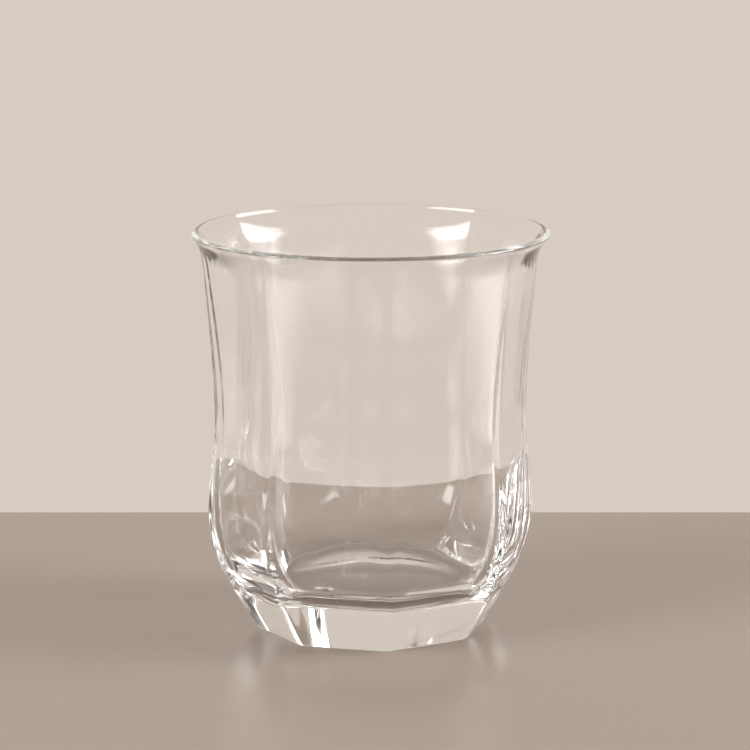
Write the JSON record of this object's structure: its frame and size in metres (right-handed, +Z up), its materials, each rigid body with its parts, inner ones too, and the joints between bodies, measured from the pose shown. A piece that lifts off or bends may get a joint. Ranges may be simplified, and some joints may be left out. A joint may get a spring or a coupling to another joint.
{
  "type": "drinking glass",
  "caption": "Clear pressed glass tumbler with eight waisted flats, which its well follows inside at an even wall, a round flared lip and a thick base.",
  "frame": {"origin": "centre of the foot's resting face, on the surface that the glass stands on", "axes": "+Z up along the glass's own axis; +X through the middle of one flat, so the upright edges lie between the axes"},
  "size_m": [0.084, 0.084, 0.095],
  "materials": {
    "glass": "clear pressed soda-lime glass, fire-polished all over"
  },
  "bodies": {
    "root": {"tumbler": "glass"}
  },
  "joints": []
}
